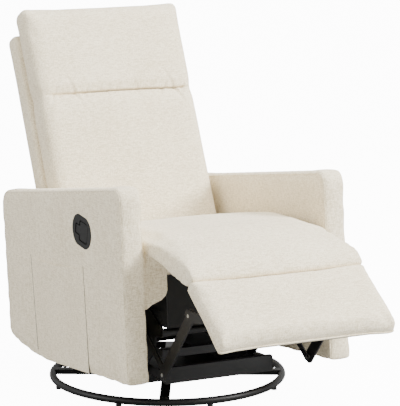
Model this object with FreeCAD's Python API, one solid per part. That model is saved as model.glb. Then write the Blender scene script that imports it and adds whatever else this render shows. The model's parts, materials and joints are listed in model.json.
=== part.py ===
import FreeCAD, Part
import math
import os

# Swivel glider recliner chair. Millimetres, +Z up, the front faces -Y, release lever on the -X arm.
# Driving dimensions. Y is measured from the swivel axis until the last step.
WIDTH = 650.0
ARM_THICKNESS = 61.0
BODY_PITCH = 5.5            # the upholstered body leans back by this angle on the level base
SEAT_HALF = 262.0
PAD_HALF = 247.0            # half width of the back, the bridge and the footrest
PIN_R = 5.0
RUNNING = 0.05              # radial clearance of a turning pin

RING_R = 316.0
RING_TUBE_R = 10.0
GLIDE_HEIGHT = 6.0
RING_Z = GLIDE_HEIGHT + RING_TUBE_R
SPOKE_ANGLE = -27.5

LINK_LENGTH = 130.0         # swing links of the glider
LINK_Y = 150.0
LINK_TOP_Z = 220.0

BACK_FOOT = (113.0, 433.0)  # where the back's front face meets the seat, in the body's own frame
BACK_LEAN = 19.6
BACK_CUSHION_TOP = 647.0
BACK_SHELL_TOP = 599.0
BACK_CUSHION_THICKNESS = 88.0
BACK_THICKNESS = 158.0
RECLINE_PIVOT = (150.0, 300.0)

CRANK_PIVOT = (-280.0, 225.0)
KNEE = (-415.0, 130.0)
FOOTREST_PIVOT = (-578.0, 320.0)
FOOTREST_TOP = (-604.0, 392.0)
FOOTREST_PITCH = 36.06
FOOTREST_LENGTH = 218.0
FOOTREST_THICKNESS = 52.0
BOARD_THICKNESS = 12.0

LEVER_CENTRE = (-204.0, 451.0)
LEVER_TILT = 12.0

HALF = WIDTH / 2
ARM_INNER = HALF - ARM_THICKNESS
ORIGIN = FreeCAD.Vector(0, 0, 0)
ALONG_X = FreeCAD.Vector(1, 0, 0)
nodes = {}


def vector(x, y, z):
    return FreeCAD.Vector(x, y, z)


def box(x0, x1, y0, y1, z0, z1):
    return Part.makeBox(x1 - x0, y1 - y0, z1 - z0, vector(x0, y0, z0))


def rod(start, end, radius):
    run = end - start
    return Part.makeCylinder(radius, run.Length, start, run)


def pin(x0, x1, yz, radius=PIN_R):
    return rod(vector(x0, yz[0], yz[1]), vector(x1, yz[0], yz[1]), radius)


def prism(corners, x0, x1):
    """Extrude an outline of (y, z) or (y, z, corner radius) from x0 to x1."""
    points = [vector(x0, corner[0], corner[1]) for corner in corners]
    radii = [corner[2] if len(corner) > 2 else 0.0 for corner in corners]
    stretches = []
    for index, point in enumerate(points):
        before = (points[index - 1] - point).normalize()
        after = (points[(index + 1) % len(points)] - point).normalize()
        half_angle = before.getAngle(after) / 2
        reach = radii[index] / math.tan(half_angle)
        inset = radii[index] / math.sin(half_angle) - radii[index]
        middle = point + (before + after).normalize() * inset
        stretches.append((point + before * reach, middle, point + after * reach))
    edges = []
    for index, (start, middle, end) in enumerate(stretches):
        if radii[index] > 0:
            edges.append(Part.Arc(start, middle, end).toShape())
        following = stretches[(index + 1) % len(stretches)][0]
        if (following - end).Length > 0.01:
            edges.append(Part.LineSegment(end, following).toShape())
    return Part.Face(Part.Wire(edges)).extrude(vector(x1 - x0, 0, 0))


def link(start, end, width, x0, x1, holes):
    """A flat bar with round ends between two (y, z) pivots, with a hole of each given radius."""
    first = vector(x0, start[0], start[1])
    last = vector(x0, end[0], end[1])
    along = (last - first).normalize() * (width / 2)
    across = ALONG_X.cross(along)
    edges = [Part.LineSegment(first + across, last + across).toShape(),
             Part.Arc(last + across, last + along, last - across).toShape(),
             Part.LineSegment(last - across, first - across).toShape(),
             Part.Arc(first - across, first - along, first + across).toShape()]
    bar = Part.Face(Part.Wire(edges)).extrude(vector(x1 - x0, 0, 0))
    for centre, radius in zip((start, end), holes):
        bar = bar.cut(pin(x0 - 1, x1 + 1, centre, radius))
    return bar


def mirrored(shape):
    return shape.mirror(ORIGIN, ALONG_X)


def both_sides(shape):
    return Part.makeCompound([shape, mirrored(shape)])


def pitched(shape):
    """Turn a shape from the body's own frame into the chair's frame."""
    turned = shape.copy()
    turned.rotate(ORIGIN, ALONG_X, -BODY_PITCH)
    return turned


def to_body(point):
    """A (y, z) place on the chair, in the body's own frame."""
    angle = math.radians(BODY_PITCH)
    return (point[0] * math.cos(angle) - point[1] * math.sin(angle),
            point[0] * math.sin(angle) + point[1] * math.cos(angle))


def on_back(up, behind):
    """A place in the body's own frame, `up` along the back's face and `behind` it."""
    lean = math.radians(BACK_LEAN)
    return (BACK_FOOT[0] + up * math.sin(lean) + behind * math.cos(lean),
            BACK_FOOT[1] + up * math.cos(lean) - behind * math.sin(lean))


def back_slab(x0, x1, up0, up1, behind0, behind1, radius=0.0):
    corners = [(up0, behind0), (up1, behind0), (up1, behind1), (up0, behind1)]
    return prism([on_back(*corner) + (radius,) for corner in corners], x0, x1)


def on_footrest(down, above):
    """A place on the chair, `down` the footrest's slope and `above` its underside."""
    pitch = math.radians(FOOTREST_PITCH)
    return (FOOTREST_TOP[0] - down * math.cos(pitch) - above * math.sin(pitch),
            FOOTREST_TOP[1] - down * math.sin(pitch) + above * math.cos(pitch))


def base():
    """Ring base on eight rubber glides, with crossed spokes and the fixed half of the bearing."""
    ring = Part.makeTorus(RING_R, RING_TUBE_R, vector(0, 0, RING_Z), vector(0, 0, 1))
    spoke_half, spoke_low, spoke_high = 13.0, 12.0, 26.0
    reach = RING_R - 4
    bars = box(-reach, reach, -spoke_half, spoke_half, spoke_low, spoke_high)
    bars = bars.fuse(box(-spoke_half, spoke_half, -reach, reach, spoke_low, spoke_high))
    hub_r, pivot_r, hub_top, pivot_top = 42.0, 8.0, 28.0, 46.0
    hub = Part.makeCylinder(hub_r, hub_top - spoke_low, vector(0, 0, spoke_low))
    bars = bars.cut(hub)
    bars.rotate(ORIGIN, vector(0, 0, 1), SPOKE_ANGLE)
    nodes["base_ring"] = ring
    nodes["base_crossbars"] = bars.cut(ring)
    nodes["base_hub"] = hub.fuse(Part.makeCylinder(pivot_r, pivot_top - spoke_low, vector(0, 0, spoke_low)))
    feet = []
    for step in range(8):
        angle = math.radians(-5 + 45 * step)
        foot = Part.makeCylinder(8, 9, vector(RING_R * math.cos(angle), RING_R * math.sin(angle), 0))
        feet.append(foot.cut(ring))
    nodes["floor_glides"] = Part.makeCompound(feet)

    plate_top, ball_r, upper_low, upper_high = 31.0, 4.0, 39.4, 42.4
    lower = box(-95, 95, -95, 95, hub_top, plate_top)
    nodes["bearing_lower_plate"] = lower.cut(Part.makeCylinder(pivot_r, 60))
    balls = []
    for step in range(12):
        angle = math.radians(30 * step)
        balls.append(Part.makeSphere(ball_r, vector(70 * math.cos(angle), 70 * math.sin(angle),
                                                    plate_top + ball_r)))
    nodes["bearing_balls"] = Part.makeCompound(balls)
    upper = box(-150, 150, -160, 160, upper_low, upper_high)
    nodes["bearing_upper_plate"] = upper.cut(Part.makeCylinder(pivot_r + RUNNING, 60))


def glider():
    """Swivelling frame with four towers, and the four swing links that carry the chair."""
    side_in, side_out, low = 146.0, 150.0, 42.4
    side = [(-300, 78), (-300, 100), (-190, 100), (-172, 236, 12), (-128, 236, 12), (-110, 100, 10),
            (110, 100, 10), (128, 236, 12), (172, 236, 12), (190, 70), (250, 70), (250, low), (-160, low),
            (-200, 78, 15)]
    plate = prism(side, side_in, side_out)
    for end in (-LINK_Y, LINK_Y):
        plate = plate.cut(pin(side_in - 1, side_out + 1, (end, LINK_TOP_Z)))
    nodes["glider_sides"] = both_sides(plate)
    nodes["glider_front_channel"] = box(-158, 158, -316, -300, 75, 118)
    nodes["glider_rear_channel"] = box(-side_in, side_in, 236, 250, low, 70)

    link_in, link_out = 153.0, 158.0
    holes = (PIN_R + RUNNING, PIN_R + RUNNING)
    low_z = LINK_TOP_Z - LINK_LENGTH
    upper_pins, lower_pins = [], []
    for name, y in (("front", -LINK_Y), ("rear", LINK_Y)):
        bar = link((y, LINK_TOP_Z), (y, low_z), 24, link_in, link_out, holes)
        nodes[name + "_glide_links"] = both_sides(bar)
        upper_pins += [pin(side_in, link_out + 1.5, (y, LINK_TOP_Z))]
        lower_pins += [pin(link_in - 1.5, 165, (y, low_z))]
    nodes["glider_upper_pins"] = Part.makeCompound([both_sides(piece) for piece in upper_pins])
    nodes["glide_lower_pins"] = Part.makeCompound([both_sides(piece) for piece in lower_pins])


def carriage():
    """Steel carriage that hangs on the links and holds the recliner mechanism plates."""
    rail_in, rail_out = 161.0, 165.0
    low_z = LINK_TOP_Z - LINK_LENGTH
    front_tube, rear_tube, tube_r = (-252, 226), (240, 196), 9.0
    rail = prism([(-300, 145), (-300, 166), (-270, 166), (-268, 240, 10), (-236, 240, 10), (-222, 150, 15),
                  (-190, 120, 20), (222, 120, 20), (222, 210, 10), (256, 210, 10), (256, 76, 15),
                  (-180, 76, 15), (-255, 145, 10)], rail_in, rail_out)
    for y in (-LINK_Y, LINK_Y):
        rail = rail.cut(pin(rail_in - 1, rail_out + 1, (y, low_z)))
    for centre in (front_tube, rear_tube):
        rail = rail.cut(pin(rail_in - 1, rail_out + 1, centre, tube_r))
    nodes["carriage_rails"] = both_sides(rail)
    nodes["carriage_front_member"] = box(-rail_out, rail_out, -311, -300, 145, 166)
    nodes["carriage_front_tube"] = pin(-196, 196, front_tube, tube_r)
    nodes["carriage_rear_tube"] = pin(-196, 196, rear_tube, tube_r)

    plate_in, plate_out = 196.0, 200.0
    pivot = to_body(CRANK_PIVOT)
    plate = prism([(-406, 182, 8), (-406, 204, 8), (-330, 250, 20), (270, 250), (270, 190, 15),
                   (-260, 172, 15)], plate_in, plate_out)
    plate = plate.cut(pin(plate_in - 1, plate_out + 1, pivot))
    nodes["mechanism_plates"] = both_sides(pitched(plate))
    nodes["front_cross_tube"] = pitched(pin(-plate_in, plate_in, (-394, 193), 11))
    nodes["crank_pivot_pins"] = both_sides(pin(plate_in, 209.5, CRANK_PIVOT))
    pieces = [box(plate_in, 248, v, v + 40, 250, 254) for v in (-90, 60, 200)]
    nodes["mechanism_brackets"] = both_sides(pitched(Part.makeCompound(pieces)))


def seat():
    """Timber seat box with wire springs, its front trim and the seat cushion."""
    rail_in, rail_out, rail_low, rail_high = 248.0, 262.0, 254.0, 318.0
    front, rear = -385.0, 98.0
    side = box(rail_in, rail_out, -405, 290, rail_low, rail_high)
    side = side.cut(pin(rail_in - 1, rail_out + 1, RECLINE_PIVOT))
    bolts = []
    for v in (-300, 20, 240):
        bolts.append(pin(rail_in, 285, (v, 284), 4))
        side = side.cut(bolts[-1])
    nodes["arm_bolts"] = both_sides(pitched(Part.makeCompound(bolts)))
    nodes["seat_side_rails"] = both_sides(pitched(side))
    nodes["seat_front_rail"] = pitched(box(-rail_in, rail_in, -405, front, 290, rail_high))
    nodes["seat_rear_rail"] = pitched(box(-rail_in, rail_in, rear, rear + 22, 280, 314))
    wires = [rod(vector(x, front, 305), vector(x, rear, 305), 2.5) for x in range(-180, 181, 60)]
    nodes["seat_springs"] = pitched(Part.makeCompound(wires))
    cheek = prism([(-428, 268, 6), (-428, 343), (-406, 343), (-406, 268, 6)], 190, 262)
    nodes["seat_front_cheeks"] = both_sides(pitched(cheek))
    nodes["front_lining"] = pitched(box(-188, 188, -416, -410, 206, 343))
    nodes["recline_pins"] = both_sides(pitched(pin(235, rail_out, RECLINE_PIVOT)))
    cushion = prism([(-443, 345, 22), (-443, 453, 28), (-240, 455, 300), on_back(-2, -4) + (12,),
                     on_back(-106, -4) + (12,)], -SEAT_HALF, SEAT_HALF)
    nodes["seat_cushion"] = pitched(cushion)
    nodes["rear_skirt"] = pitched(prism([(322, 150), (322, 325), (338, 325), (338, 150)], -262, 262))


def arm_outline(inset):
    corners = [(-453, 74, 14), (-453, 581, 38), (358, 528, 50), (346, 120, 25), (230, 76, 500)]
    if inset == 0:
        return corners
    centre = (-50, 320)
    return [(v - math.copysign(inset, v - centre[0]), w - math.copysign(inset, w - centre[1]))
            for v, w, radius in corners[:4]]


def arms():
    """Padded arms on plywood cores; the -X arm carries the pocket and the release lever."""
    core_in, core_out = 285.0, 303.0
    core = prism(arm_outline(30), core_in, core_out)
    cover = prism(arm_outline(0), ARM_INNER, HALF).cut(core)
    for v in (-300, 20, 240):
        cover = cover.cut(pin(ARM_INNER - 1, core_in, (v, 284), 4))

    pocket_front, pocket_rear, pocket_low, hem = -207.0, 150.0, 84.0, 355.0
    floor_x, mouth = HALF - 11, 10.0
    left_cover = mirrored(cover)
    left_cover = left_cover.cut(box(-HALF - 1, -floor_x, pocket_front, pocket_rear, pocket_low, hem + mouth))
    nodes["side_pocket"] = pitched(box(-HALF, -HALF + 3, pocket_front, pocket_rear, pocket_low, hem))

    v, w = LEVER_CENTRE
    oval = [(v - 59.5, w - 41.5, 41), (v - 59.5, w + 41.5, 41), (v + 59.5, w + 41.5, 41),
            (v + 59.5, w - 41.5, 41)]
    paddle = prism([(v - 33, w - 25, 8), (v - 33, w + 25, 8), (v + 13, w + 25, 5),
                    (v + 13, w + 11.5, 2), (v + 37, w + 11.5, 3), (v + 37, w - 11.5, 3),
                    (v + 13, w - 11.5, 2), (v + 13, w - 25, 5)], -HALF + 1, -HALF + 5)
    well = prism([(v - 37, w - 28, 11), (v - 37, w + 28, 11), (v + 16, w + 28, 7),
                  (v + 16, w + 14.5, 2), (v + 41, w + 14.5, 5), (v + 41, w - 14.5, 5),
                  (v + 16, w - 14.5, 2), (v + 16, w - 28, 7)], -HALF - 1, -HALF + 14)
    bezel = prism(oval, -HALF, -HALF + 18)
    hinge = rod(vector(-HALF + 6.5, v + 33, w - 16), vector(-HALF + 6.5, v + 33, w + 16), 1.5)
    pieces = {"bezel": bezel.cut(well).cut(hinge), "paddle": paddle, "hinge": hinge, "room": bezel}
    for piece in pieces.values():
        piece.rotate(vector(0, v, w), ALONG_X, LEVER_TILT)
    nodes["lever_bezel"] = pitched(pieces["bezel"])
    nodes["lever_paddle"] = pitched(pieces["paddle"])
    nodes["lever_hinge_pin"] = pitched(pieces["hinge"])
    left_cover = left_cover.cut(pieces["room"])

    cable_x, cable_r, turn = -304.6, 1.5, (-190.0, 232.0)
    cable = rod(vector(cable_x, turn[0], 400), vector(cable_x, turn[0], turn[1]), cable_r)
    cable = cable.fuse(pin(-200, cable_x, turn, cable_r))
    cable = cable.fuse(Part.makeSphere(cable_r, vector(cable_x, turn[0], turn[1])))
    cable = cable.cut(pieces["bezel"])
    left_cover = left_cover.cut(cable)
    nodes["release_cable"] = pitched(cable)
    nodes["arm_cover_left"] = pitched(left_cover)
    nodes["arm_cover_right"] = pitched(cover)
    nodes["arm_frame_left"] = pitched(mirrored(core).cut(cable))
    nodes["arm_frame_right"] = pitched(core)


def back():
    """Reclining back: timber frame with webbing inside a padded shell, and the loose-look cushion."""
    post_in, post_out, behind0, behind1 = 216.0, 234.0, 105.0, 130.0
    low, high = -127.0, 585.0
    post = back_slab(post_in, post_out, low, high, behind0, behind1)
    plate = prism([on_back(*corner) for corner in ((low, 66), (low, behind1), (-20, behind1),
                                                   (-20, behind0), (-98, behind0), (-98, 66))],
                  post_out, 243)
    plate = plate.cut(pin(post_out - 1, 244, RECLINE_PIVOT, PIN_R + RUNNING))
    nodes["back_posts"] = both_sides(pitched(post))
    nodes["back_brackets"] = both_sides(pitched(plate))
    top_rail = back_slab(-post_in, post_in, high - 40, high, behind0, behind1)
    bottom_rail = back_slab(-post_in, post_in, -40, 0, behind0, behind1)
    strips = [back_slab(-post_in, post_in, up, up + 50, 115, 117) for up in range(60, 500, 90)]
    nodes["back_top_rail"] = pitched(top_rail)
    nodes["back_bottom_rail"] = pitched(bottom_rail)
    nodes["back_webbing"] = pitched(Part.makeCompound(strips))
    shell = back_slab(-PAD_HALF, PAD_HALF, -60, BACK_SHELL_TOP, BACK_CUSHION_THICKNESS + 1,
                      BACK_THICKNESS, 12)
    shell = shell.cut(back_slab(-post_out, post_out, -70, high, behind0, behind1))
    for piece in (plate, mirrored(plate)):
        shell = shell.cut(piece)
    nodes["back_shell"] = pitched(shell)
    nodes["back_cushion"] = pitched(back_slab(-PAD_HALF, PAD_HALF, -88, BACK_CUSHION_TOP, 0,
                                              BACK_CUSHION_THICKNESS, 30))


def footrest():
    """Folding footrest on a crank and a strut each side, and the padded bridge to the seat."""
    crank_x, strut_x, plate_x = 204.0, 212.0, 220.0
    thickness = 4.0
    turning = PIN_R + RUNNING
    nodes["ottoman_cranks"] = both_sides(link(CRANK_PIVOT, KNEE, 18, crank_x, crank_x + thickness,
                                              (turning, PIN_R)))
    nodes["knee_pins"] = both_sides(pin(crank_x, strut_x + thickness + 1.5, KNEE))
    nodes["ottoman_struts"] = both_sides(link(KNEE, FOOTREST_PIVOT, 34, strut_x, strut_x + thickness,
                                              (turning, turning)))
    nodes["footrest_pins"] = both_sides(pin(strut_x - 1.5, plate_x + thickness, FOOTREST_PIVOT))
    bracket_outline = ((6, -84), (36, -84), (110, -6), (110, 0), (70, 0), (62, -24), (6, -68))
    bracket = prism([on_footrest(*corner) for corner in bracket_outline], plate_x, plate_x + thickness)
    nodes["footrest_brackets"] = both_sides(bracket.cut(pin(plate_x - 1, plate_x + 5, FOOTREST_PIVOT)))
    rim = 11.0
    board_outline = [(rim, 0), (FOOTREST_LENGTH - rim, 0), (FOOTREST_LENGTH - rim, BOARD_THICKNESS),
                     (rim, BOARD_THICKNESS)]
    board = prism([on_footrest(*corner) for corner in board_outline], -PAD_HALF + rim, PAD_HALF - rim)
    pad_outline = [(0, 0, 6), (FOOTREST_LENGTH, 0, 6), (FOOTREST_LENGTH, FOOTREST_THICKNESS, 24),
                   (0, FOOTREST_THICKNESS, 16)]
    pad = prism([on_footrest(down, above) + (radius,) for down, above, radius in pad_outline],
                -PAD_HALF, PAD_HALF)
    nodes["footrest_board"] = board
    nodes["footrest_cushion"] = pad.cut(board)
    nodes["bridge_pad"] = prism([(-409, 436, 5), (-409, 481, 12), (-549, 467, 200), (-622, 446, 8),
                                 (-629, 434), (-600, 394)], -PAD_HALF, PAD_HALF)


def export():
    """Put the origin on the floor under the middle of the chair and write one file per node."""
    bounds = Part.makeCompound(list(nodes.values())).BoundBox
    offset = vector(-bounds.Center.x, -bounds.Center.y, -bounds.ZMin)
    print("offset", offset, "size", bounds.XLength, bounds.YLength, bounds.ZLength, "nodes", len(nodes))
    os.makedirs("parts", exist_ok=True)
    for name, shape in nodes.items():
        if not shape.isValid():
            print("not valid:", name)
        shape.translate(offset)
        shape.exportStep("parts/" + name + ".step")


for build in (base, glider, carriage, seat, arms, back, footrest, export):
    build()
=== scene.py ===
import json
import math

import bmesh
import bpy
import numpy as np
from mathutils import Matrix, Vector
from mathutils.bvhtree import BVHTree


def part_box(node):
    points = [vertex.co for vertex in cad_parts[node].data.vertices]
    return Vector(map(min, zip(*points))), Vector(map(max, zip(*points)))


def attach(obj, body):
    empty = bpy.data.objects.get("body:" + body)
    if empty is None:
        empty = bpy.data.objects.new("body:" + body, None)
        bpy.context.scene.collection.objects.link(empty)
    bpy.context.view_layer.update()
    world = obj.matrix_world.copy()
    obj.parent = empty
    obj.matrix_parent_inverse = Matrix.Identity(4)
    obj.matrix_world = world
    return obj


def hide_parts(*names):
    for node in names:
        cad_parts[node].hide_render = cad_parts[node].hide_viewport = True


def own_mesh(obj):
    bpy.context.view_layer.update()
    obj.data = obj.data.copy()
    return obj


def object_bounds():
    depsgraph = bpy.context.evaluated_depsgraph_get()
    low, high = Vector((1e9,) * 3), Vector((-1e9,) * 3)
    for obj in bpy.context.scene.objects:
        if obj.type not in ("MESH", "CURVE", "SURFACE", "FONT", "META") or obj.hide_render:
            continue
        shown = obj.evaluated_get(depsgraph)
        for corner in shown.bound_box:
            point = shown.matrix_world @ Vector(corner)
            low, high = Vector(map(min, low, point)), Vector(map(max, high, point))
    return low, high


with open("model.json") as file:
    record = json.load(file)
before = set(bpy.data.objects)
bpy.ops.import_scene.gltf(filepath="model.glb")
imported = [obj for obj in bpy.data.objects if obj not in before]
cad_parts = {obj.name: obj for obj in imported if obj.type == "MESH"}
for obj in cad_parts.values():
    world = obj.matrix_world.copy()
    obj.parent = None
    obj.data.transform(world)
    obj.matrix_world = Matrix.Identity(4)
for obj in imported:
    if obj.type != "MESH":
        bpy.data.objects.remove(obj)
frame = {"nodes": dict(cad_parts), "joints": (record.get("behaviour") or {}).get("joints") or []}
cad_low, cad_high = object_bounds()

# --- Oatmeal upholstery cloth ----------------------------------------------------------------
# A plain-woven polyester made to look like linen: pale warp, slightly darker weft, and uneven
# slub yarns both ways. The yarns are 0.8 mm apart, too fine to show, so they are drawn at 2.2 mm.
MM = 0.001


def linear(hex_colour):
    """An sRGB hex colour as the linear one that a shader takes."""
    channels = [int(hex_colour[i:i + 2], 16) / 255 for i in (1, 3, 5)]
    return [c / 12.92 if c <= 0.04045 else ((c + 0.055) / 1.055) ** 2.4 for c in channels] + [1.0]


def add_node(tree, kind, settings=None, **sockets):
    """Add a node; a socket given another node's output is linked, and any other value is set."""
    node = tree.nodes.new(kind)
    for name, value in (settings or {}).items():
        setattr(node, name, value)
    for name, value in sockets.items():
        socket = node.inputs[name.replace("_", " ")]
        if isinstance(value, bpy.types.NodeSocket):
            tree.links.new(value, socket)
        else:
            socket.default_value = value
    return node


def new_material(name):
    material = bpy.data.materials.new(name)
    material.use_nodes = True
    material.node_tree.nodes.clear()
    return material, material.node_tree


def finish_material(tree, surface):
    output = add_node(tree, "ShaderNodeOutputMaterial")
    tree.links.new(surface.outputs["BSDF"], output.inputs["Surface"])


def woven_cloth(name, light, dark, yarn_mm, slub_mm, bump_mm):
    """Cloth whose slub yarns run along each of the chair's three directions."""
    material, tree = new_material(name)
    place = add_node(tree, "ShaderNodeTexCoord").outputs["Object"]
    fine, long = 1 / (yarn_mm * MM), 1 / (slub_mm * MM)
    yarns = None
    for stretch in ((long, fine, fine), (fine, long, fine), (fine, fine, long)):
        turned = add_node(tree, "ShaderNodeMapping", Vector=place, Scale=stretch)
        slub = add_node(tree, "ShaderNodeTexNoise", Vector=turned.outputs["Vector"], Scale=1.0,
                        Detail=2.0, Roughness=0.6).outputs["Fac"]
        if yarns is None:
            yarns = slub
        else:
            yarns = add_node(tree, "ShaderNodeMath", {"operation": "ADD"}).outputs["Value"]
            tree.links.new(slub, yarns.node.inputs[0])
            tree.links.new(last, yarns.node.inputs[1])
        last = yarns
    weave = add_node(tree, "ShaderNodeMapRange", Value=yarns, From_Min=1.15, From_Max=1.85)
    patchy_mm = 140.0
    patchy = add_node(tree, "ShaderNodeTexNoise", Vector=place, Scale=1 / (patchy_mm * MM),
                      Detail=3.0)
    both = add_node(tree, "ShaderNodeMix", Factor=0.25, A=weave.outputs["Result"],
                    B=patchy.outputs["Fac"])
    colour = add_node(tree, "ShaderNodeValToRGB", Fac=both.outputs["Result"])
    colour.color_ramp.elements[0].position = 0.28
    colour.color_ramp.elements[0].color = linear(dark)
    colour.color_ramp.elements[1].position = 0.72
    colour.color_ramp.elements[1].color = linear(light)
    bump = add_node(tree, "ShaderNodeBump", Height=weave.outputs["Result"], Strength=0.5,
                    Distance=bump_mm * MM)
    surface = add_node(tree, "ShaderNodeBsdfPrincipled", Base_Color=colour.outputs["Color"],
                       Roughness=0.92, Sheen_Weight=0.25, Sheen_Roughness=0.6,
                       Specular_IOR_Level=0.2, Normal=bump.outputs["Normal"])
    finish_material(tree, surface)
    return material


oatmeal_cloth = woven_cloth("oatmeal_linen_look_cloth", "#F6EACE", "#D0C19F", 2.2, 15, 0.5)
oatmeal_thread = woven_cloth("oatmeal_sewing_thread", "#F6EEDB", "#E0D5BD", 1.2, 6, 0.2)


# --- Arms ------------------------------------------------------------------------------------
# Plywood cores under batting and cloth, in two flat side panels sewn to a 61 mm boxing strip that
# runs over the front, top and back. Like every pad here, each starts as a slightly slack block,
# and its cloth is then blown out by the filling.
BODY_PITCH = math.radians(5.5)      # the padded body leans back on its level steel base


def joint_place(name):
    return next(joint for joint in frame["joints"] if joint["name"] == name)["pos_m"]


swivel_y = joint_place("swivel")[1]


def in_body(along, up):
    """The chair's (y, z) for a place given in mm along and up the leaning body."""
    y = along * math.cos(BODY_PITCH) + up * math.sin(BODY_PITCH)
    z = up * math.cos(BODY_PITCH) - along * math.sin(BODY_PITCH)
    return (y * MM + swivel_y, z * MM)


def piece_from(bm, name, material, body, slot, *nodes):
    """Turn a bmesh into a piece that rides on a body and may stand for CAD nodes."""
    bmesh.ops.recalc_face_normals(bm, faces=bm.faces)
    mesh = bpy.data.meshes.new(name)
    bm.to_mesh(mesh)
    bm.free()
    mesh.shade_smooth()
    piece = bpy.data.objects.new(name, mesh)
    bpy.context.scene.collection.objects.link(piece)
    piece.data.materials.append(material)
    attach(piece, body)
    if nodes:
        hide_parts(*nodes)
    return piece


def block(corners, x0, x1, rim):
    """A bmesh block: an outline of (y, z, corner radius) between two x, with soft rims."""
    bm = bmesh.new()
    outline = [bm.verts.new((x0, corner[0], corner[1])) for corner in corners]
    bm.faces.new(outline)
    for vert, corner in zip(outline, corners):
        if corner[2] > 0:
            bmesh.ops.bevel(bm, geom=[vert], offset=corner[2], offset_type="OFFSET", segments=8,
                            profile=0.5, affect="VERTICES", material=-1)
    grown = bmesh.ops.extrude_face_region(bm, geom=bm.faces[:])
    moved = [item for item in grown["geom"] if isinstance(item, bmesh.types.BMVert)]
    bmesh.ops.translate(bm, verts=moved, vec=(x1 - x0, 0, 0))
    if rim > 0:
        ends = [edge for edge in bm.edges
                if abs(edge.verts[0].co.x - edge.verts[1].co.x) < 1e-6]
        bmesh.ops.bevel(bm, geom=ends, offset=rim, offset_type="OFFSET", segments=4, profile=0.5,
                        affect="EDGES", material=-1, clamp_overlap=True)
    return bm


def points_of(piece):
    places = np.empty(len(piece.data.vertices) * 3)
    piece.data.vertices.foreach_get("co", places)
    return places.reshape(-1, 3)


def set_points(piece, places):
    piece.data.vertices.foreach_set("co", places.reshape(-1))
    piece.data.update()


def with_modifiers_applied(piece):
    """Put the evaluated mesh in the piece and clear its modifiers."""
    evaluated = piece.evaluated_get(bpy.context.evaluated_depsgraph_get())
    mesh = bpy.data.meshes.new_from_object(evaluated)
    piece.modifiers.clear()
    piece.data = mesh
    mesh.shade_smooth()


def fill_out(piece, voxel_mm, pressure, cap_mm):
    """Blow the cloth out over its filling, by no more than about cap_mm, and smooth it."""
    remesh = piece.modifiers.new("even_cloth", "REMESH")
    remesh.mode = "VOXEL"
    remesh.voxel_size = voxel_mm * MM
    with_modifiers_applied(piece)
    rest = points_of(piece)
    cloth = piece.modifiers.new("filling", "CLOTH")
    cloth.settings.quality = 4
    cloth.settings.mass = 0.3
    cloth.settings.tension_stiffness = 12
    cloth.settings.compression_stiffness = 12
    cloth.settings.use_pressure = True
    cloth.settings.uniform_pressure_force = pressure
    cloth.settings.effector_weights.gravity = 0
    last_frame = 20
    cloth.point_cache.frame_end = last_frame
    for step in range(1, last_frame + 1):
        bpy.context.scene.frame_set(step)
    with_modifiers_applied(piece)
    bpy.context.scene.frame_set(1)
    swell = points_of(piece) - rest
    size = np.maximum(np.linalg.norm(swell, axis=1, keepdims=True), 1e-9)
    cap = cap_mm * MM
    set_points(piece, rest + swell / size * cap * np.tanh(size / cap))
    bm = bmesh.new()
    bm.from_mesh(piece.data)
    smoothings = 2
    for _ in range(smoothings):
        bmesh.ops.smooth_vert(bm, verts=bm.verts, factor=0.5, use_axis_x=True, use_axis_y=True,
                              use_axis_z=True)
    bm.to_mesh(piece.data)
    bm.free()
    finer = piece.modifiers.new("finer", "SUBSURF")
    finer.levels = 1
    finer.render_levels = 1
    with_modifiers_applied(piece)


arm_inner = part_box("arm_cover_right")[0].x
arm_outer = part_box("arm_cover_right")[1].x
SLACK = 2.0
arm_corners = ((-453, 74, 12), (-453, 581, 38), (358, 528, 50), (346, 120, 25), (299, 103, 40),
               (221, 86, 60), (130, 76, 60))


def inset_outline(corners, inset):
    """Move an outline in by `inset` mm, corner by corner, keeping its shape."""
    moved = []
    for index, (v, w, radius) in enumerate(corners):
        before = Vector(corners[index - 1][:2]) - Vector((v, w))
        after = Vector(corners[(index + 1) % len(corners)][:2]) - Vector((v, w))
        inward = (before.normalized() + after.normalized()).normalized()
        if before.cross(after) > 0:
            inward.negate()
        half_angle = before.angle(after) / 2
        step = inward * (inset / math.sin(half_angle))
        moved.append((v + step.x, w + step.y, max(radius - inset, 1.0)))
    return moved


def laid(corners):
    """An outline in body mm as the chair's (y, z, radius) in metres."""
    return [in_body(v, w) + (radius * MM,) for v, w, radius in corners]


arms = {}
for side, name in ((-1, "left"), (1, "right")):
    near, far = sorted((side * (arm_inner + SLACK * MM), side * (arm_outer - SLACK * MM)))
    arm = piece_from(block(laid(inset_outline(arm_corners, SLACK)), near, far, rim=7 * MM),
                     "arm_" + name, oatmeal_cloth, "carriage", "upholstery", "arm_cover_" + name)
    fill_out(arm, voxel_mm=7, pressure=2.0, cap_mm=4.0)
    arms[name] = arm

# --- Felled seams on the arms ----------------------------------------------------------------
# Each seam allowance is turned to one side and topstitched, which leaves a raised band 8 mm wide
# with a row of stitches near its edge. A strip is swept round the arm's outline for each seam.
BAND = 8.0
BAND_PROUD = 1.3
BAND_PROFILE = ((0.0, -0.8), (0.12, 0.75), (0.35, 1.0), (0.65, 1.0), (0.88, 0.75), (1.0, -0.8))
STITCH_PITCH = 5.0


def smooth_path(corners, step_mm):
    """Points every step_mm round a closed outline whose corners are rounded."""
    bm = bmesh.new()
    outline = [bm.verts.new((0, v, w)) for v, w, radius in corners]
    bm.faces.new(outline)
    for vert, corner in zip(outline, corners):
        bmesh.ops.bevel(bm, geom=[vert], offset=corner[2], offset_type="OFFSET", segments=10,
                        profile=0.5, affect="VERTICES", material=-1)
    loop = [vert.co.copy() for face in bm.faces for vert in face.verts]
    bm.free()
    path = []
    for index, start in enumerate(loop):
        end = loop[(index + 1) % len(loop)]
        count = max(1, round((end - start).length / step_mm))
        path += [start.lerp(end, part / count) for part in range(count)]
    return path


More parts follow.
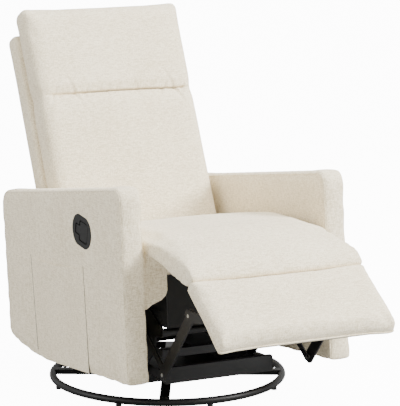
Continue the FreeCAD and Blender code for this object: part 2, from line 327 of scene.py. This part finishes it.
def across_of(path, index, centre):
    """The direction along a closed path at a point, and the one that points into the panel."""
    along = (path[(index + 1) % len(path)] - path[index - 1]).normalized()
    across = Vector((0, along.z, -along.y))
    if across.dot(centre - path[index]) < 0:
        across.negate()
    return along, across


def surface_tree(piece):
    places = [vert.co for vert in piece.data.vertices]
    return BVHTree.FromPolygons(places, [face.vertices for face in piece.data.polygons])


def join_rings(bm, rings):
    """Faces between each ring of vertices and the next."""
    for ring, following in zip(rings, rings[1:]):
        for a in range(len(ring)):
            b = (a + 1) % len(ring)
            bm.faces.new((ring[a], ring[b], following[b], following[a]))


def felled_band(path, x, cloth_surface, inset, width, proud):
    """A low raised band that lies on the cloth, `inset` mm in from a closed path at x."""
    bm = bmesh.new()
    rings = []
    centre = sum(path, Vector()) / len(path)
    for index, point in enumerate(path):
        across = across_of(path, index, centre)[1]
        ring = []
        for part, lift in BAND_PROFILE:
            y, z = in_body(*(point + across * (inset + width * part)).yz)
            place, normal, _, _ = cloth_surface.find_nearest(Vector((x, y, z)))
            ring.append(bm.verts.new(place + normal * proud * lift * MM))
        rings.append(ring)
    join_rings(bm, rings + rings[:1])
    return bm


def stitch_row(path, x, cloth_surface, inset, proud, pitch_mm):
    """Short thread stitches on the band, `inset` mm in from a closed path at x."""
    bm = bmesh.new()
    centre = sum(path, Vector()) / len(path)
    travelled, due = 0.0, 0.0
    for index, point in enumerate(path):
        travelled += (path[(index + 1) % len(path)] - point).length
        if travelled < due:
            continue
        due += pitch_mm
        along, across = across_of(path, index, centre)
        y, z = in_body(*(point + across * inset).yz)
        place, normal, _, _ = cloth_surface.find_nearest(Vector((x, y, z)))
        turn = Matrix.Rotation(math.atan2(along.z, along.y) - BODY_PITCH, 4, "X")
        thread, half_long = 0.5 * MM, pitch_mm * 0.34 * MM
        flat = Matrix.Diagonal((thread, half_long, thread, 1.0))
        seat_on = Matrix.Translation(place + normal * proud * MM)
        bmesh.ops.create_icosphere(bm, subdivisions=1, radius=1.0, matrix=seat_on @ turn @ flat)
    return bm


seam_path = smooth_path(arm_corners, step_mm=5.0)
for name, side in (("left", -1), ("right", 1)):
    cloth_surface = surface_tree(arms[name])
    for face, x in (("outer", side * arm_outer), ("inner", side * arm_inner)):
        piece_from(felled_band(seam_path, x, cloth_surface, inset=2.0, width=BAND,
                               proud=BAND_PROUD),
                   f"arm_seam_{name}_{face}", oatmeal_cloth, "carriage", "upholstery")
        piece_from(stitch_row(seam_path, x, cloth_surface, inset=BAND, proud=BAND_PROUD,
                              pitch_mm=STITCH_PITCH),
                   f"arm_stitches_{name}_{face}", oatmeal_thread, "carriage", "upholstery")

# --- Side pocket -----------------------------------------------------------------------------
# The lower middle of the -X arm's outer panel is a separate flap sewn in between two slits, open
# along its sagging top hem. The slits gape a little more toward the bottom, and the dark cloth
# strip in each is painted shade that stands for the shadow inside the slit.
POCKET_FRONT, POCKET_REAR, POCKET_HEM, POCKET_LOW = -207.0, 150.0, 355.0, 84.0
HEM_SAG = 7.0
FRONT_LEAN, REAR_LEAN = -9.0, -20.0      # how far each slit has moved along at its lower end
SLIT_GAP = 1.5
FLAP_THICK = 1.6
BELLY = 2.0

# Painted shade: the dark brown of the slit strips stands for the shadow inside each slit.
slit_shade_cloth = woven_cloth("pocket_slit_painted_shade", "#5A5146", "#3F382F", 2.0, 10, 0.2)


def pocket_panel(x_out):
    """The flap as one sheet, with its hem sagging and its middle a little proud of the arm."""
    bm = bmesh.new()
    columns, rows = 40, 30
    grid = []
    for column in range(columns + 1):
        part = column / columns
        v = POCKET_FRONT + SLIT_GAP + (POCKET_REAR - POCKET_FRONT - 2 * SLIT_GAP) * part
        hem = POCKET_HEM - HEM_SAG * math.sin(math.pi * part)
        low = POCKET_LOW - 6 + max(0.0, (v - 90) * 0.12)
        line = []
        for row in range(rows + 1):
            w = low + (hem - low) * row / rows
            lean = FRONT_LEAN + (REAR_LEAN - FRONT_LEAN) * part
            y, z = in_body(v + lean * (1 - row / rows), w)
            belly = math.sin(math.pi * part) * (row / rows) ** 2
            line.append(bm.verts.new((x_out - belly * BELLY * MM, y, z)))
        grid.append(line)
    for column in range(columns):
        for row in range(rows):
            bm.faces.new((grid[column][row], grid[column + 1][row], grid[column + 1][row + 1],
                          grid[column][row + 1]))
    return bm


def thicken(piece, thickness, edge=0.0):
    """Give a single sheet its thickness and, where asked, a softened edge."""
    wall = piece.modifiers.new("thickness", "SOLIDIFY")
    wall.thickness = thickness
    wall.offset = 0
    if edge > 0:
        soft = piece.modifiers.new("soft_edge", "BEVEL")
        soft.width = edge
        soft.segments = 2


pocket_x = -arm_outer - FLAP_THICK * MM
pocket = piece_from(pocket_panel(pocket_x), "pocket_flap", oatmeal_cloth, "carriage",
                    "upholstery", "side_pocket")
thicken(pocket, FLAP_THICK * MM, edge=0.5 * MM)


def slit_strip(v, top, bottom, lean):
    """A narrow wedge of dark cloth between the flap and the arm panel: painted shade for the
    slit's shadow.
    """
    bm = bmesh.new()
    sides = []
    steps, at_top, gape = 24, 0.5, 1.3
    for step in range(steps + 1):
        part = step / steps
        w = top + (bottom - top) * part
        half = (at_top + gape * part ** 1.5) * MM
        y, z = in_body(v + lean * part, w)
        sides.append((bm.verts.new((pocket_x - 0.5 * MM, y - half, z)),
                      bm.verts.new((pocket_x - 0.5 * MM, y + half, z))))
    for above, below in zip(sides, sides[1:]):
        bm.faces.new((above[0], above[1], below[1], below[0]))
    return bm


SLIT_SHADE_THICK = 1.2
for name, v, bottom, lean in (("front", POCKET_FRONT, 78, FRONT_LEAN),
                              ("rear", POCKET_REAR, 100, REAR_LEAN)):
    slit = piece_from(slit_strip(v, POCKET_HEM + 6, bottom, lean), "pocket_slit_" + name,
                      slit_shade_cloth, "carriage", "upholstery")
    thicken(slit, SLIT_SHADE_THICK * MM)

# --- Release lever ---------------------------------------------------------------------------
# A moulded nylon bezel and a T-shaped pull, flush in the -X arm. The cloth is cut out and tucked
# behind the bezel, so the arm's surface dips to it and is open where the bezel passes through.
bezel_low, bezel_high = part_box("lever_bezel")
arm_points = points_of(arms["left"])
LEVER_TILT = math.radians(12.0) - BODY_PITCH
HALF_STRAIGHT, END_RADIUS = 18, 41        # the bezel's outline is two round ends and a straight
DIP_WIDTH, CUT_BACK, FLUSH_DEPTH = 22, 5, 1.2
away_y = arm_points[:, 1] - (bezel_low.y + bezel_high.y) / 2
away_z = arm_points[:, 2] - (bezel_low.z + bezel_high.z) / 2
along = away_y * math.cos(LEVER_TILT) + away_z * math.sin(LEVER_TILT)
across = away_z * math.cos(LEVER_TILT) - away_y * math.sin(LEVER_TILT)
round_end = np.hypot(np.maximum(np.abs(along) - HALF_STRAIGHT * MM, 0), across)
beyond = round_end - END_RADIUS * MM
outside = arm_points[:, 0] < -(arm_inner + arm_outer) / 2
dip = np.clip(1 - beyond / (DIP_WIDTH * MM), 0, 1) ** 2
flush = -arm_outer + FLUSH_DEPTH * MM
cut_out = beyond <= -CUT_BACK * MM
lowered = np.maximum(arm_points[:, 0], arm_points[:, 0] * (1 - dip) + flush * dip)
arm_points[:, 0] = np.where(outside & ~cut_out, lowered, arm_points[:, 0])
arm_points[:, 0] = np.where(outside & cut_out, bezel_high.x + 2 * MM, arm_points[:, 0])
set_points(arms["left"], arm_points)


def moulded_plastic(name, colour, rough):
    """Nylon moulded in a spark-eroded tool: matt black with a fine, even grain 0.4 mm across."""
    material, tree = new_material(name)
    place = add_node(tree, "ShaderNodeTexCoord").outputs["Object"]
    grain_mm = 0.4
    grain = add_node(tree, "ShaderNodeTexNoise", Vector=place, Scale=1 / (grain_mm * MM),
                     Detail=2.0)
    bump = add_node(tree, "ShaderNodeBump", Height=grain.outputs["Fac"], Strength=0.3,
                    Distance=0.05 * MM)
    shade = add_node(tree, "ShaderNodeMapRange", Value=grain.outputs["Fac"], To_Min=rough - 0.08,
                     To_Max=rough + 0.08)
    surface = add_node(tree, "ShaderNodeBsdfPrincipled", Base_Color=linear(colour),
                       Roughness=shade.outputs["Result"], IOR=1.53, Specular_IOR_Level=0.3,
                       Normal=bump.outputs["Normal"])
    finish_material(tree, surface)
    return material


def give(material, *names):
    """Make CAD nodes of one material, with their meshes left as they are."""
    for name in names:
        mesh = frame["nodes"][name].data
        mesh.materials.clear()
        mesh.materials.append(material)


bezel_nylon = moulded_plastic("bezel_moulded_nylon", "#0D0D0A", 0.62)
pull_nylon = moulded_plastic("pull_moulded_nylon", "#080806", 0.6)
give(bezel_nylon, "lever_bezel", "release_cable")
give(pull_nylon, "lever_paddle")

# --- Seat and bridge -------------------------------------------------------------------------
# A deep foam block wrapped in fibre. Its cloth runs on with no seam over the padded bridge that
# fills the gap to the raised footrest, so both are blown out as one pad and then parted in front.
seat_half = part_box("seat_cushion")[1].x
bridge_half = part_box("bridge_pad")[1].x
NECK_START, NECK_LENGTH = 400, 70          # ahead of the axis, where the run narrows to the bridge
CROWN, CROWN_END, CROWN_FADE = 9, 640, 140
CROWN_FOOT, CROWN_RISE = 436, 30


def beside_axis(places):
    """Outline places in mm from the swivel axis, as the chair's (y, z, radius)."""
    return [(y * MM + swivel_y, z * MM, radius * MM) for y, z, radius in places]


run_corners = ((-386, 389, 14), (-396, 454, 6), (-520, 410, 50), (-610, 392, 8), (-648, 416, 8),
               (-624, 442, 20), (-548, 466, 120), (-398, 484, 260), (-196, 470, 100),
               (146, 412, 14), (99, 322, 14))
seat = piece_from(block(beside_axis(run_corners), -seat_half + SLACK * MM, seat_half - SLACK * MM,
                        rim=9 * MM),
                  "seat_cushion_cover", oatmeal_cloth, "carriage", "upholstery", "seat_cushion")
fill_out(seat, voxel_mm=7, pressure=3.5, cap_mm=9.0)
run_points = points_of(seat)
ahead = np.clip((swivel_y - NECK_START * MM - run_points[:, 1]) / (NECK_LENGTH * MM), 0, 1)
narrowing = 1 - (1 - (bridge_half + SLACK * MM) / seat_half) * ahead ** 2 * (3 - 2 * ahead)
run_points[:, 0] *= narrowing
run_points[:, 0] = np.clip(run_points[:, 0], -arm_inner + 1 * MM, arm_inner - 1 * MM)
crown = np.clip(1 - (run_points[:, 0] / seat_half) ** 2, 0, 1)
fading = np.clip((run_points[:, 1] - swivel_y + CROWN_END * MM) / (CROWN_FADE * MM), 0, 1)
on_top = np.clip((run_points[:, 2] - CROWN_FOOT * MM) / (CROWN_RISE * MM), 0, 1)
run_points[:, 2] += CROWN * MM * crown * fading * on_top
set_points(seat, run_points)

SEAT_END, BRIDGE_START = -440.0, -400.0      # they overlap, with the seat's end tucked inside
TUCK_START, TUCK_DEPTH = BRIDGE_START + 8, 5


def parted(piece, y_mm, facing):
    """The part of a pad on one side of a cross plane, with the cut end closed."""
    bm = bmesh.new()
    bm.from_mesh(piece.data)
    cut = bmesh.ops.bisect_plane(bm, geom=bm.verts[:] + bm.edges[:] + bm.faces[:], dist=1e-6,
                                 plane_co=(0, y_mm * MM + swivel_y, 0), plane_no=(0, facing, 0),
                                 clear_outer=True)
    rim = [item for item in cut["geom_cut"] if isinstance(item, bmesh.types.BMEdge)]
    bmesh.ops.edgeloop_fill(bm, edges=rim)
    for edge in rim:
        edge.smooth = False
    return bm


bridge = piece_from(parted(seat, BRIDGE_START, 1), "bridge_cover", oatmeal_cloth, "bridge",
                    "upholstery", "bridge_pad")
seat_part = parted(seat, SEAT_END, -1)
seat_part.normal_update()
for vert in seat_part.verts:
    beyond = (swivel_y + TUCK_START * MM - vert.co.y) / ((TUCK_START - SEAT_END) * MM)
    if beyond > 0:
        vert.co -= vert.normal * TUCK_DEPTH * MM * min(beyond, 1.0)
seat_part.to_mesh(seat.data)
seat_part.free()
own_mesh(bridge)

# --- Footrest --------------------------------------------------------------------------------
# A foam pad on a plywood board. The cloth is drawn in hard at the seam with the bridge, crowned
# between, and sewn to a narrow front border with a welted seam just above the lower edge.
FOOTREST_PITCH = math.radians(36.06)
FOOTREST_TOP = (-604.0, 392.0)
FOOTREST_LENGTH = 218.0
footrest_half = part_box("footrest_cushion")[1].x


def on_footrest(down, above):
    """The (y, z), in mm from the swivel axis, of a place down and above the sloping board."""
    y = FOOTREST_TOP[0] - down * math.cos(FOOTREST_PITCH) - above * math.sin(FOOTREST_PITCH)
    z = FOOTREST_TOP[1] - down * math.sin(FOOTREST_PITCH) + above * math.cos(FOOTREST_PITCH)
    return (y, z)


footrest_corners = ((0, 0, 4), (FOOTREST_LENGTH + 1, 0, 4), (FOOTREST_LENGTH + 2, 48, 24),
                    (0, 42, 18))
footrest = piece_from(block(beside_axis([on_footrest(down, above) + (radius,)
                                         for down, above, radius in footrest_corners]),
                            -footrest_half - 1 * MM, footrest_half + 1 * MM, rim=8 * MM),
                      "footrest_cover", oatmeal_cloth, "footrest", "upholstery",
                      "footrest_cushion")
fill_out(footrest, voxel_mm=6, pressure=3.5, cap_mm=8.0)


def welt(places, radius_mm, cloth_surface):
    """A round corded seam that lies on the cloth through a run of places."""
    bm = bmesh.new()
    sides, raised = 8, 0.3
    rings = []
    for index, place in enumerate(places):
        along = (places[min(index + 1, len(places) - 1)] - places[max(index - 1, 0)]).normalized()
        on_cloth, normal, _, _ = cloth_surface.find_nearest(place)
        across = along.cross(normal).normalized()
        ring = []
        for turn in range(sides):
            angle = 2 * math.pi * turn / sides
            away = (normal * math.cos(angle) + across * math.sin(angle)) * radius_mm * MM
            ring.append(bm.verts.new(on_cloth + normal * raised * radius_mm * MM + away))
        rings.append(ring)
    join_rings(bm, rings)
    bm.faces.new(rings[0])
    bm.faces.new(rings[-1])
    return bm


WELT_ABOVE, WELT_RADIUS, WELT_STEP, WELT_TOP = 13.0, 2.4, 6, 12
footrest_surface = surface_tree(footrest)
edge_half = footrest_half / MM + 8
down_to, out_to = int(FOOTREST_LENGTH), int(edge_half)
welt_places = [(-edge_half, down) for down in range(WELT_TOP, down_to + 6, WELT_STEP)]
welt_places += [(x, FOOTREST_LENGTH + 8) for x in range(-out_to + 4, out_to, WELT_STEP)]
welt_places += [(edge_half, down) for down in range(down_to + 4, WELT_TOP, -WELT_STEP)]
welt_line = []
for x, down in welt_places:
    y, z = on_footrest(down, WELT_ABOVE)
    welt_line.append(footrest_surface.find_nearest(Vector((x * MM, y * MM + swivel_y, z * MM)))[0])
piece_from(welt(welt_line, WELT_RADIUS, footrest_surface), "footrest_welt", oatmeal_cloth,
           "footrest", "upholstery")

# --- Back cushion ----------------------------------------------------------------------------
# A tall fibre-filled cushion with a headrest sewn across it. The cross seam is pulled into the
# filling and its thread gathers the cloth, which leaves short creases above and below it.
BACK_LEAN = BODY_PITCH + math.radians(19.6)
BACK_FOOT = in_body(113, 433)
back_up = np.array((0, math.sin(BACK_LEAN), math.cos(BACK_LEAN)))
back_behind = np.array((0, math.cos(BACK_LEAN), -math.sin(BACK_LEAN)))
back_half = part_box("back_cushion")[1].x


def on_back(places):
    """Outline places in mm up and behind the back's front face, as (y, z, radius)."""
    made = []
    for up, behind, radius in places:
        y = BACK_FOOT[0] + (up * back_up[1] + behind * back_behind[1]) * MM
        z = BACK_FOOT[1] + (up * back_up[2] + behind * back_behind[2]) * MM
        made.append((y, z, radius * MM))
    return made


back_corners = ((-84, 4, 20), (648, 4, 26), (648, 84, 26), (-84, 84, 20))
back = piece_from(block(on_back(back_corners), -back_half + 1 * MM, back_half - 1 * MM,
                        rim=13 * MM),
                  "back_cushion_cover", oatmeal_cloth, "backrest", "upholstery", "back_cushion")
fill_out(back, voxel_mm=7, pressure=3.5, cap_mm=9.0)


def hump(distance, width):
    """1 on a line and 0 a few widths away, for dents, ridges and folds."""
    return np.exp(-(distance / width) ** 2)


def back_places(piece):
    """Each point, and its x, height up the back and depth behind its face in mm."""
    places = points_of(piece)
    from_foot = places - np.array((0, BACK_FOOT[0], BACK_FOOT[1]))
    return places, places[:, 0] / MM, from_foot @ back_up / MM, from_foot @ back_behind / MM


HEADREST_SEAM = 385.0
FRONT_DEPTH = 50
SEAM_HALF, SEAM_FADE = 232, 50
# Each crease that the seam's thread gathers: its x, lean, depth and length up and down, in mm.
GATHERS = ((-196, 0.5, 4.0, 22), (-132, -0.4, 5.0, 26), (-98, 0.5, 3.5, 18), (-30, 0.25, 3.5, 22),
           (60, -0.2, 3.0, 20), (142, 0.6, 6.0, 26), (176, -0.5, 5.5, 30), (204, 0.4, 4.0, 20))
bm = bmesh.new()
bm.from_mesh(back.data)
for step in (-16, -11, -7, -4, -2, 0, 2, 4, 7, 11, 16):
    level = Vector((0, *BACK_FOOT)) + Vector(back_up) * (HEADREST_SEAM + step) * MM
    bmesh.ops.bisect_plane(bm, geom=bm.verts[:] + bm.edges[:] + bm.faces[:], dist=1e-6,
                           plane_co=level, plane_no=back_up)
bm.to_mesh(back.data)
bm.free()
back.data.shade_smooth()
places, x_mm, up_mm, behind_mm = back_places(back)
in_front = np.clip((FRONT_DEPTH - behind_mm) / FRONT_DEPTH, 0, 1)
across_back = np.clip((SEAM_HALF - np.abs(x_mm)) / SEAM_FADE, 0, 1)
from_seam = up_mm - HEADREST_SEAM
fainter_left = 0.45 + 0.55 * np.clip((x_mm + 190) / 120, 0, 1)
dent = 19 * hump(from_seam, 3.4) * fainter_left + 10 * hump(from_seam, 26)
dent -= 4.5 * hump(from_seam - 20, 14)
gathers = np.zeros(len(places))
for centre, lean, depth, length in GATHERS:
    reach = np.abs(from_seam)
    line = centre + lean * from_seam
    gathers += depth * hump(x_mm - line, 5.0) * np.exp(-reach / length)
    gathers -= 0.6 * depth * hump(x_mm - line - 11, 7) * np.exp(-reach / length)
push = (dent * across_back + gathers * np.clip((240 - np.abs(x_mm)) / 30, 0, 1)) * in_front
places += np.outer(push * MM, back_behind)
bowed = (6 * np.cos(x_mm / 165) - 6) * hump(from_seam, 70)
bowed -= 5 * hump(from_seam - 7, 6) * fainter_left * across_back * in_front
places += np.outer(bowed * MM, back_up)
pinch = 5 * hump(from_seam, 22) * np.clip((np.abs(x_mm) - 190) / 50, 0, 1)
places[:, 0] -= np.sign(x_mm) * pinch * MM
set_points(back, places)

# --- Back shell ------------------------------------------------------------------------------
# The padded timber frame behind the cushion, covered tight in the same cloth, a little lower than
# the cushion and slightly rounded on its rear face.
shell_corners = ((-56, 92, 6), (596, 92, 14), (596, 154, 20), (-56, 154, 14))
shell = piece_from(block(on_back(shell_corners), -back_half + 1 * MM, back_half - 1 * MM,
                         rim=7 * MM),
                   "back_shell_cover", oatmeal_cloth, "backrest", "upholstery", "back_shell")
fill_out(shell, voxel_mm=7, pressure=2.0, cap_mm=4.0)

# --- Seat front cheeks and rear skirt --------------------------------------------------------
# Cloth-covered boards each side of the mechanism, cut in a curve below and set on edge between
# the seat pad and the arms, and a stretched cloth skirt across the back between the arms.
CHEEK_WIDTH, CHEEK_TOP, CHEEK_FRONT, CHEEK_THICK, CHEEK_EDGE = 72, 416, -427, 20, 3
for side, name in ((-1, "left"), (1, "right")):
    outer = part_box("seat_front_cheeks")[1].x
    inner = outer - CHEEK_WIDTH * MM
    bm = bmesh.new()
    lower = ((outer, 262), (outer - 12 * MM, 262), (outer - 26 * MM, 272), (outer - 54 * MM, 282),
             (outer - 66 * MM, 292), (inner, 306))
    outline = [(side * x, w) for x, w in lower]
    outline += [(side * inner, CHEEK_TOP), (side * outer, CHEEK_TOP)]
    front = [bm.verts.new((x, *in_body(CHEEK_FRONT, w))) for x, w in outline]
    bm.faces.new(front)
    grown = bmesh.ops.extrude_face_region(bm, geom=bm.faces[:])
    moved = [item for item in grown["geom"] if isinstance(item, bmesh.types.BMVert)]
    bmesh.ops.translate(bm, verts=moved, vec=(0, CHEEK_THICK * MM, 0))
    bmesh.ops.bevel(bm, geom=bm.edges[:], offset=CHEEK_EDGE * MM, offset_type="OFFSET", segments=3,
                    profile=0.5, affect="EDGES", material=-1, clamp_overlap=True)
    nodes = ("seat_front_cheeks",) if side < 0 else ()
    piece_from(bm, "front_cheek_" + name, oatmeal_cloth, "carriage", "upholstery", *nodes)

skirt_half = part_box("rear_skirt")[1].x
piece_from(block(laid(((324, 152, 3), (324, 324, 3), (336, 324, 3), (336, 152, 3))),
                 -skirt_half + 1 * MM, skirt_half - 1 * MM, rim=3 * MM),
           "rear_skirt_cover", oatmeal_cloth, "carriage", "upholstery", "rear_skirt")

# --- Black powder-coated steel ---------------------------------------------------------------
# The ring base, the glider frame and the mechanism are mild steel with a baked black powder coat:
# half gloss, with a faint orange peel about 1.5 mm across.
def powder_coat(name, colour, rough):
    material, tree = new_material(name)
    place = add_node(tree, "ShaderNodeTexCoord").outputs["Object"]
    peel_mm = 1.5
    peel = add_node(tree, "ShaderNodeTexNoise", Vector=place, Scale=1 / (peel_mm * MM), Detail=1.0)
    dust_mm = 60.0
    dust = add_node(tree, "ShaderNodeTexNoise", Vector=place, Scale=1 / (dust_mm * MM),
                    Detail=4.0)
    shade = add_node(tree, "ShaderNodeMapRange", Value=dust.outputs["Fac"], To_Min=rough - 0.06,
                     To_Max=rough + 0.1)
    bump = add_node(tree, "ShaderNodeBump", Height=peel.outputs["Fac"], Strength=0.15,
                    Distance=0.1 * MM)
    surface = add_node(tree, "ShaderNodeBsdfPrincipled", Base_Color=linear(colour),
                       Roughness=shade.outputs["Result"], Specular_IOR_Level=0.35,
                       Normal=bump.outputs["Normal"])
    finish_material(tree, surface)
    return material


black_steel = powder_coat("black_powder_coated_steel", "#060606", 0.45)
give(black_steel, "base_ring", "base_crossbars", "base_hub", "bearing_lower_plate",
     "bearing_upper_plate", "glider_sides", "glider_front_channel", "glider_rear_channel",
     "front_glide_links", "rear_glide_links", "carriage_rails", "carriage_front_member",
     "carriage_front_tube", "carriage_rear_tube", "mechanism_plates", "front_cross_tube",
     "mechanism_brackets", "back_brackets", "ottoman_cranks", "ottoman_struts",
     "footrest_brackets")

# --- Zinc-plated pins and springs ------------------------------------------------------------
# Rivets, bolts and wire springs are bright zinc over steel, turned or drawn, with fine scratches.
def zinc_plate(name):
    material, tree = new_material(name)
    place = add_node(tree, "ShaderNodeTexCoord").outputs["Object"]
    scratch_mm = 0.8
    scratch = add_node(tree, "ShaderNodeTexNoise", Vector=place, Scale=1 / (scratch_mm * MM),
                       Detail=3.0)
    shade = add_node(tree, "ShaderNodeMapRange", Value=scratch.outputs["Fac"], To_Min=0.25,
                     To_Max=0.45)
    surface = add_node(tree, "ShaderNodeBsdfPrincipled", Base_Color=linear("#B9B9B4"),
                       Metallic=1.0, Roughness=shade.outputs["Result"])
    finish_material(tree, surface)
    return material


zinc = zinc_plate("bright_zinc_plate")
give(zinc, "bearing_balls", "glider_upper_pins", "glide_lower_pins", "crank_pivot_pins",
     "arm_bolts", "recline_pins", "lever_hinge_pin", "knee_pins", "footrest_pins", "seat_springs")

# --- Rubber glides and plywood frame ---------------------------------------------------------
# Eight moulded rubber glides keep the ring off the floor. The arms', seat's and back's frames are
# birch plywood, whose pale face has a faint grain about 3 mm apart.
rubber = moulded_plastic("moulded_black_rubber", "#1A1A1A", 0.75)
give(rubber, "floor_glides")


def plywood_sheet(name):
    material, tree = new_material(name)
    place = add_node(tree, "ShaderNodeTexCoord").outputs["Object"]
    grain_mm = 3.0
    run = add_node(tree, "ShaderNodeMapping", Vector=place,
                   Scale=(0.06 / (grain_mm * MM), 1 / (grain_mm * MM), 1 / (grain_mm * MM)))
    grain = add_node(tree, "ShaderNodeTexNoise", Vector=run.outputs["Vector"], Scale=1.0,
                     Detail=5.0, Distortion=0.6)
    colour = add_node(tree, "ShaderNodeValToRGB", Fac=grain.outputs["Fac"])
    colour.color_ramp.elements[0].color = linear("#A98B5F")
    colour.color_ramp.elements[1].color = linear("#D8BE93")
    surface = add_node(tree, "ShaderNodeBsdfPrincipled", Base_Color=colour.outputs["Color"],
                       Roughness=0.7)
    finish_material(tree, surface)
    return material


give(plywood_sheet("birch_plywood"), "seat_side_rails", "seat_rear_rail",
     "arm_frame_left", "arm_frame_right", "back_posts", "back_top_rail", "back_bottom_rail")

# --- Black linings and painted-shade sheets --------------------------------------------------
# Thin spun-bonded cloth. It closes the seat front and carries the back's filling. The black sheets
# under the seat, behind the skirt and inside each side of the seat box are painted shade that
# makes the inside of the seat box dark.
black_lining = woven_cloth("black_spunbond_lining", "#090908", "#030303", 1.5, 4, 0.15)
give(black_lining, "front_lining", "back_webbing", "footrest_board", "seat_front_rail")

# Painted shade: black sheets set in the seat box where it lies in shadow, so its inside reads
# dark.
for name, x0, x1, v0, v1, w0, w1, flat in (
        ("shade_sheet_under_seat", -194, 194, -384, 300, 247, 248.5, (388, 684)),
        ("shade_sheet_behind_skirt", -258, 258, 316, 317.5, 190, 322, (516, 132)),
        ("shade_sheet_left", -189.6, -188.2, -414, -100, 207, 300, (314, 93)),
        ("shade_sheet_right", 188.2, 189.6, -414, -100, 207, 300, (314, 93))):
    corners = laid(((v0, w0, 0), (v0, w1, 0), (v1, w1, 0), (v1, w0, 0)))
    shade_sheet = piece_from(block(corners, x0 * MM, x1 * MM, 0), name, black_lining, "carriage",
                        "black_lining")

# --- Studio ----------------------------------------------------------------------------------
# A pale seamless floor and white surroundings, a soft key light high on the front right, weaker
# ones overhead and low on the left, and a long lens at a low angle.
bm = bmesh.new()
FLOOR_HALF = 12.0
bmesh.ops.create_grid(bm, x_segments=1, y_segments=1, size=FLOOR_HALF)
floor_mesh = bpy.data.meshes.new("studio_floor")
bm.to_mesh(floor_mesh)
bm.free()
floor = bpy.data.objects.new("studio_floor", floor_mesh)
bpy.context.scene.collection.objects.link(floor)
floor_paint, tree = new_material("matt_white_floor")
seen = add_node(tree, "ShaderNodeLightPath").outputs["Is Camera Ray"]
FLOOR_GLOW = 12.0
glow = add_node(tree, "ShaderNodeMapRange", Value=seen, To_Min=0.0, To_Max=FLOOR_GLOW)
finish_material(tree, add_node(tree, "ShaderNodeBsdfPrincipled", Base_Color=linear("#A4A4A4"),
                               Roughness=0.9, Emission_Color=linear("#FFFFFF"),
                               Emission_Strength=glow.outputs["Result"]))
floor.data.materials.append(floor_paint)

world = bpy.data.worlds.new("white_studio")
world.use_nodes = True
world.node_tree.nodes["Background"].inputs["Color"].default_value = (1.0, 1.0, 1.0, 1.0)
world.node_tree.nodes["Background"].inputs["Strength"].default_value = 1.0
bpy.context.scene.world = world

chair_middle = Vector((0, 0, cad_high.z * 0.45))
for name, place, size, power in (("key", (2.9, -2.9, 2.6), 1.6, 490),
                                 ("top", (0.4, -0.2, 3.8), 2.2, 140),
                                 ("side", (-4.0, 0.4, 1.2), 2.0, 75)):
    light = bpy.data.lights.new(name, "AREA")
    light.shape = "DISK"
    light.size = size
    light.energy = power
    lamp = bpy.data.objects.new(name, light)
    lamp.location = place
    lamp.rotation_euler = (chair_middle - Vector(place)).to_track_quat("-Z", "Y").to_euler()
    bpy.context.scene.collection.objects.link(lamp)

camera_place = Vector((-2.6219, swivel_y - 5.4148, 1.5880))
camera_aim = Vector((0.1042, swivel_y + 0.0073, 0.4818))
lens = bpy.data.cameras.new("studio_camera")
lens.sensor_width = 36.0
lens.lens = 198.75
camera = bpy.data.objects.new("studio_camera", lens)
camera.location = camera_place
camera.rotation_euler = (camera_aim - camera_place).to_track_quat("-Z", "Y").to_euler()
bpy.context.scene.collection.objects.link(camera)
bpy.context.scene.camera = camera

bpy.context.view_layer.update()
